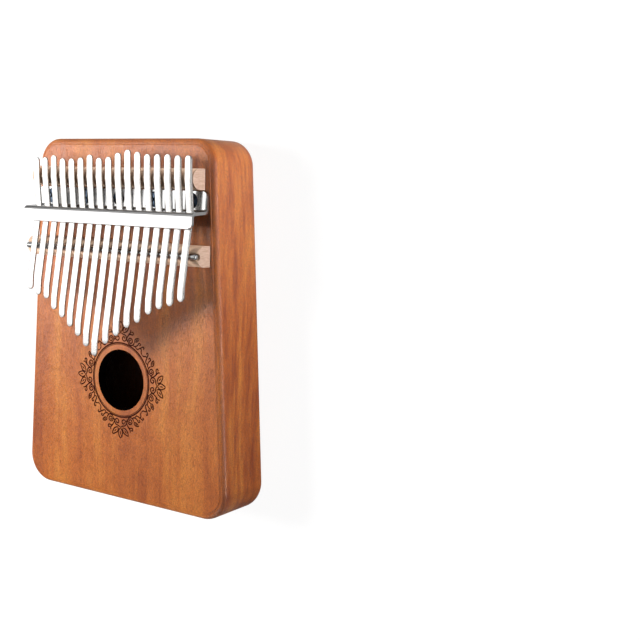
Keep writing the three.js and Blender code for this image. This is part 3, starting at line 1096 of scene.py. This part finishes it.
def ribbon(solid, line, width, closed=False):
    """A thin closed strip along a line on the face, narrowing at its ends."""
    count = len(line)
    reach = [0]
    for a, b in zip(line, line[1:]):
        reach.append(reach[-1] + (b - a).length)
    rings = []
    for i, place in enumerate(line):
        before = line[(i - 1) % count] if closed or i > 0 else place
        after = line[(i + 1) % count] if closed or i < count - 1 else place
        along = (after - before).normalized()
        side = Vector((-along.y, along.x))
        half = width / 2
        if not closed:
            edge = min(reach[i], reach[-1] - reach[i])
            half *= LINE_END + (1 - LINE_END) * min(1, edge / LINE_TAPER)
        corners = []
        for sign, z in ((1, -LINE_SUNK), (-1, -LINE_SUNK), (-1, LINE_PROUD), (1, LINE_PROUD)):
            corners.append((place.x + side.x * half * sign, place.y + side.y * half * sign, FACE + z))
        rings.append(solid.ring(corners))
    solid.walls(rings)
    if closed:
        solid.wall(rings[-1], rings[0])
    else:
        solid.face(rings[0])
        solid.face(rings[-1])


def make_engraving():
    """Two rings round the sound hole, with the sprigs bent round outside them."""
    solid = Solid()
    for radius, width in RING_RADII:
        outline = [Vector(p[:2]) for p in circle(0, HOLE_Y, radius, FACE, HOLE_STEPS)]
        ribbon(solid, outline, width, closed=True)
    lines = sprig()
    for number in range(SPRIGS):
        for line in lines:
            points = []
            for across, out in line:
                angle = 2 * math.pi * number / SPRIGS + across / SPRIG_BEND
                radius = out * MM
                points.append(Vector((radius * math.sin(angle), HOLE_Y + radius * math.cos(angle))))
            ribbon(solid, points, LINE_WIDTH)
    return solid.make("engraved_ring", [BURNT])


# ---------------------------------------------------------------- assembly

def fit(piece, slot, *nodes):
    """The piece rides on the body and stands for its CAD nodes."""
    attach(piece, "body")
    if nodes:
        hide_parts(*nodes)


fit(make_body(), "body_wood", "body_shell")
fit(make_back(), "plate_wood", "back_plate")
fit(make_engraving(), "body_wood")
fit(make_back_bridge(), "bridge_wood", "back_bridge")
fit(make_front_bridge(), "bridge_wood", "front_bridge")
fit(make_rod(), "rod_steel", "bridge_rod")
fit(make_bracket(), "bracket_chrome", "tine_bracket")
for screw_number, screw_place in enumerate(screw_places(), 1):
    fit(make_screw(screw_number, screw_place), "screw_zinc", f"bracket_screw_{screw_number}")

for tine_number in range(1, TINES + 1):
    tine_piece = make_tine(tine_number)
    shank = f"tine_{tine_number:02d}_shank"
    tongue = f"tine_{tine_number:02d}_tongue"
    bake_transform(tine_piece)
    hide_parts(shank, tongue)


# ---------------------------------------------------------------- floor, light and camera

FLOOR_SIZE = 4
FLOOR_Z = (-0.02, -0.0004)

# The floor glows a little to everything, and this much more to the camera.
FLOOR_GLOW = 0.05
FLOOR_SEEN = 0.88

# The floor's brightness in shiny pieces, along Y: the distance that the stops span, in millimetres, and the
# share of it that lies before the origin.
SHEEN_LENGTH = 250
SHEEN_START = 0.38
SHEEN_STOPS = [(0, 0.02), (0.36, 0.12), (0.68, 0.55), (0.74, 0.5), (0.82, 0.04)]

# The surroundings as matt surfaces, shiny ones and the camera see them.
WORLD_LIGHT = (0.05, 0.05, 0.051, 1)
WORLD_MIRRORED = 0.18
WORLD_SEEN = 1

MATT = "matt"
SHINY = "shiny"

# Each lamp: its name, what it reaches, its place, what it is aimed at, its width, its height and its watts.
LAMPS = (
    ("key", MATT, (-0.58, 0.08, 0.59), (0, 0.01, 0.03), 0.28, 0.28, 10.5),
    ("softbox", SHINY, (-0.58, 0.15, 0.6), (0, 0.15, 0.03), 0.42, 0.44, 1.6),
    ("veil", SHINY, (-0.58, -0.125, 0.6), (0, -0.125, 0.03), 0.13, 0.44, 0.18),
    ("high_veil", SHINY, (-0.5, 0.56, 0.42), (0, 0.06, 0.05), 0.5, 0.5, 0.4),
    ("fill", MATT, (0.33, 0.17, 0.016), (0.06, 0.05, 0.016), 0.2, 0.03, 1.05),
    ("rim", SHINY, (0.75, 0.05, 0.1), (0.06, 0.05, 0.03), 0.7, 0.2, 1.25),
    ("far_card", SHINY, (0, 1.05, 0.75), (0, 0.05, 0.04), 0.8, 0.5, 1.1),
    ("right_card", SHINY, (1, 0.2, 0.75), (0, 0.05, 0.04), 0.9, 0.45, 0.9),
    ("near_card", SHINY, (0, -1.05, 0.65), (0, 0.05, 0.04), 0.8, 0.5, 1.1),
    ("near_end_fill", MATT, (0, -0.75, 0.06), (0, -0.09, 0.02), 0.3, 0.3, 3.2),
    ("far_end_fill", MATT, (0, 0.75, 0), (0, 0.09, 0.02), 0.3, 0.3, 2),
)

# The camera looks at the face from the right and a little from the top end. Its place is in millimetres.
CAMERA_PLACE = Vector((370.69, 70.76, 418.66)) * MM
CAMERA_AZIMUTH = math.radians(32.983)
CAMERA_ELEVATION = math.radians(7.207)
CAMERA_ROLL = math.radians(1.612)
CAMERA_LENS = 58.74
CAMERA_SENSOR = 36


def make_floor():
    """A white cloth that glows evenly to the camera, and to shiny pieces brightest beside the bridges."""
    solid = Solid()
    corners = ((-1, -1), (1, -1), (1, 1), (-1, 1))
    rings = [solid.ring([(x * FLOOR_SIZE, y * FLOOR_SIZE, z) for x, y in corners]) for z in FLOOR_Z]
    solid.stack(rings)
    finish = Finish("white_floor")
    cloth = finish.noise(finish.place, *CLOTH)
    rays = finish.tree.nodes.new("ShaderNodeLightPath").outputs
    glow = finish.math("ADD", finish.math("MULTIPLY", rays["Is Camera Ray"], FLOOR_SEEN), FLOOR_GLOW)
    along = finish.math("MULTIPLY", finish.axis(finish.place, "Y"), 1 / SHEEN_LENGTH)
    sheen = finish.ramp(finish.math("ADD", along, SHEEN_START, clamp=True), SHEEN_STOPS)
    glow = finish.math("ADD", glow, finish.math("MULTIPLY", rays["Is Glossy Ray"], sheen))
    finish.set(base_color=finish.ramp(cloth, [(0.3, 0.14), (0.7, 0.16)]), roughness=0.9)
    finish.set(emission_color=(1, 1, 1, 1), emission_strength=glow, specular_ior_level=0.1)
    floor = solid.make("floor", [finish.material])


def area_light(name, reaches, place, aim, width, height, power):
    """A lamp that the camera doesn't see. It reaches either matt surfaces or shiny ones."""
    data = bpy.data.lights.new(name, "AREA")
    data.shape = "RECTANGLE"
    data.size = width
    data.size_y = height
    data.energy = power
    light = bpy.data.objects.new(name, data)
    light.visible_camera = False
    light.visible_diffuse = reaches == MATT
    light.visible_glossy = reaches == SHINY
    light.location = place
    light.rotation_euler = (Vector(aim) - Vector(place)).to_track_quat("-Z", "Y").to_euler()
    bpy.context.scene.collection.objects.link(light)


def make_world():
    """Dim grey light all round, a little lighter in shiny pieces, and white behind the object."""
    world = bpy.data.worlds.new("studio")
    world.use_nodes = True
    bpy.context.scene.world = world
    tree = world.node_tree
    rays = tree.nodes.new("ShaderNodeLightPath").outputs
    socket = tree.nodes["Background"].inputs["Color"]
    for ray, level in (("Is Camera Ray", WORLD_SEEN), ("Is Glossy Ray", WORLD_MIRRORED)):
        mixed = tree.nodes.new("ShaderNodeMix")
        mixed.data_type = "RGBA"
        tree.links.new(rays[ray], mixed.inputs["Factor"])
        mixed.inputs[COLOUR_B].default_value = (level, level, level, 1)
        tree.links.new(mixed.outputs[COLOUR_OUT], socket)
        socket = mixed.inputs[COLOUR_A]
    socket.default_value = WORLD_LIGHT


def make_camera():
    back = Vector((
        math.sin(CAMERA_AZIMUTH) * math.cos(CAMERA_ELEVATION),
        math.sin(CAMERA_ELEVATION),
        math.cos(CAMERA_AZIMUTH) * math.cos(CAMERA_ELEVATION),
    ))
    right = (-back).cross(Vector((0, 1, 0))).normalized()
    up = right.cross(-back)
    rolled_right = right * math.cos(CAMERA_ROLL) + up * math.sin(CAMERA_ROLL)
    rolled_up = up * math.cos(CAMERA_ROLL) - right * math.sin(CAMERA_ROLL)
    turn = Matrix((rolled_right, rolled_up, back)).transposed()
    data = bpy.data.cameras.new("camera")
    data.lens = CAMERA_LENS
    data.sensor_width = CAMERA_SENSOR
    camera = bpy.data.objects.new("camera", data)
    camera.matrix_world = Matrix.Translation(CAMERA_PLACE) @ turn.to_4x4()
    bpy.context.scene.collection.objects.link(camera)
    bpy.context.scene.camera = camera


make_floor()
make_world()
for lamp in LAMPS:
    area_light(*lamp)
make_camera()
bpy.context.scene.view_settings.view_transform = "Standard"
